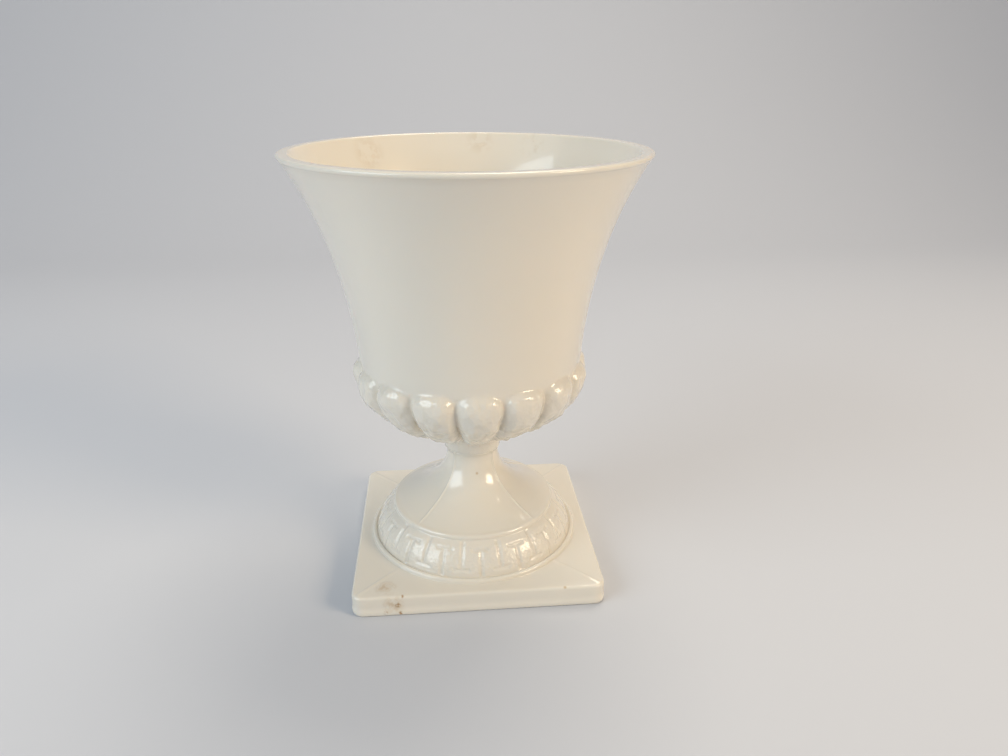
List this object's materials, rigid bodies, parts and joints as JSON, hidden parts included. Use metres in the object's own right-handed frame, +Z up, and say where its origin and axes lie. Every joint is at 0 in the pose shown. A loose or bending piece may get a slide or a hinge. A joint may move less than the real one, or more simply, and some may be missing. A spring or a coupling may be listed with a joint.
{
  "type": "footed urn vase",
  "caption": "Footed urn vase: a flared cup with a ring of rounded lobes round its bottom, on a short stem, a domed foot with a key-fret band and a square plinth.",
  "frame": {"origin": "centre of the plinth's underside, on the plane that the vase stands on", "axes": "+Z up along the vase's axis, -Y out of the plinth's front side, which is square to it"},
  "size_m": [0.13, 0.13, 0.1623],
  "materials": {
    "opal_glass": "gloss"
  },
  "bodies": {
    "root": {"cup": "opal_glass", "pedestal": "opal_glass"}
  },
  "joints": []
}
